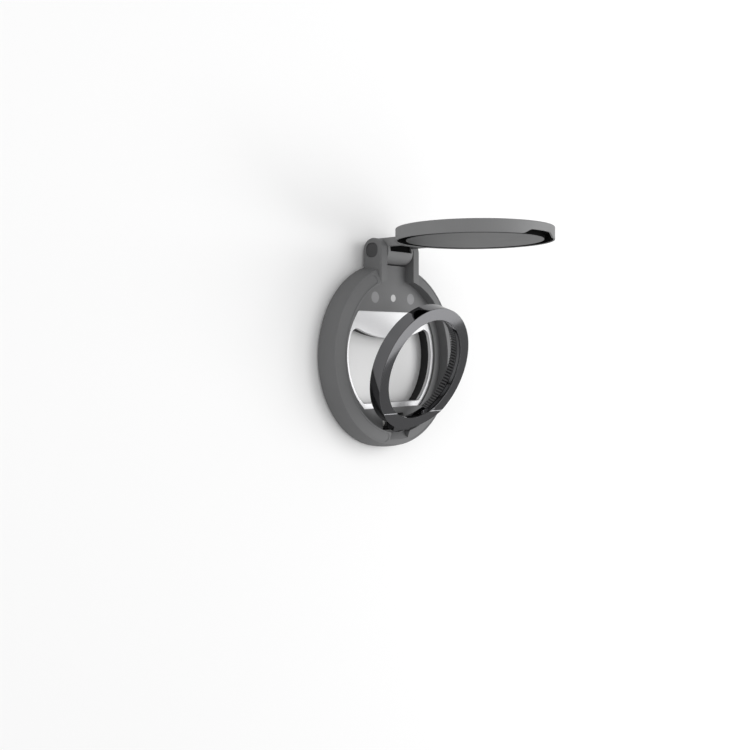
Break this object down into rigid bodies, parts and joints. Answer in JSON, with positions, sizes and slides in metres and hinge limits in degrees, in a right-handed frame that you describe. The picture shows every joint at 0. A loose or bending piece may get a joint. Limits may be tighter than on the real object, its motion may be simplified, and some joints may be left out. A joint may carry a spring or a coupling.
{
  "type": "magnetic phone finger loop",
  "caption": "Round magnetic phone grip: a ring-magnet base with a raised flip lid, a tilting metal finger loop with a ribbed inside, and a steel bottle opener in its middle.",
  "frame": {"origin": "centre of the round back face, which lies on the phone", "axes": "+X across the phone along both hinge pins, +Y up the phone towards the lid's hinge, +Z away from the phone, out of the pocket"},
  "size_m": [0.0578, 0.0665, 0.0601],
  "materials": {
    "housing_plastic": "fine satin moulding grain",
    "cover_plastic": "plain moulded back",
    "pad_rubber": "soft matt grip",
    "cap_plastic": "dark satin",
    "washer_plastic": "slippery natural plastic",
    "liner_plastic": "finely ribbed",
    "magnet_nickel": "satin nickel",
    "inner_steel": "plain turned steel",
    "plate_steel": "light satin steel",
    "bush_brass": "plain turned brass",
    "loop_metal": "polished dark grey metal"
  },
  "bodies": {
    "base": {"base_housing": "housing_plastic", "back_cover": "cover_plastic", "grip_pad": "pad_rubber", "base_magnets": "magnet_nickel", "magnet_shunts": "inner_steel", "cover_screws": "inner_steel", "opener_plate": "plate_steel", "plate_rivet": "plate_steel", "closing_magnet_left": "magnet_nickel", "closing_magnet_right": "magnet_nickel", "lid_hinge_pin": "inner_steel", "pin_cap_left": "cap_plastic", "pin_cap_right": "cap_plastic", "loop_hinge_pin": "inner_steel", "loop_washer_left": "washer_plastic", "loop_washer_right": "washer_plastic"},
    "lid": {"lid_shell": "housing_plastic", "lid_disc": "housing_plastic", "lid_keeper_plate": "inner_steel", "lid_hinge_bush": "bush_brass"},
    "loop": {"finger_loop": "loop_metal", "loop_grip_liner": "liner_plastic", "loop_hinge_bush": "bush_brass"}
  },
  "joints": [
    {"name": "lid_hinge", "type": "hinge", "parent": "base", "child": "lid", "pos_m": [0, 0.0327, 0.0045], "axis": [1, 0, 0], "range_deg": [-60, 38]},
    {"name": "loop_hinge", "type": "hinge", "parent": "base", "child": "loop", "pos_m": [0, -0.02108, 0.00381], "axis": [1, 0, 0], "range_deg": [-22.5, 20]}
  ]
}
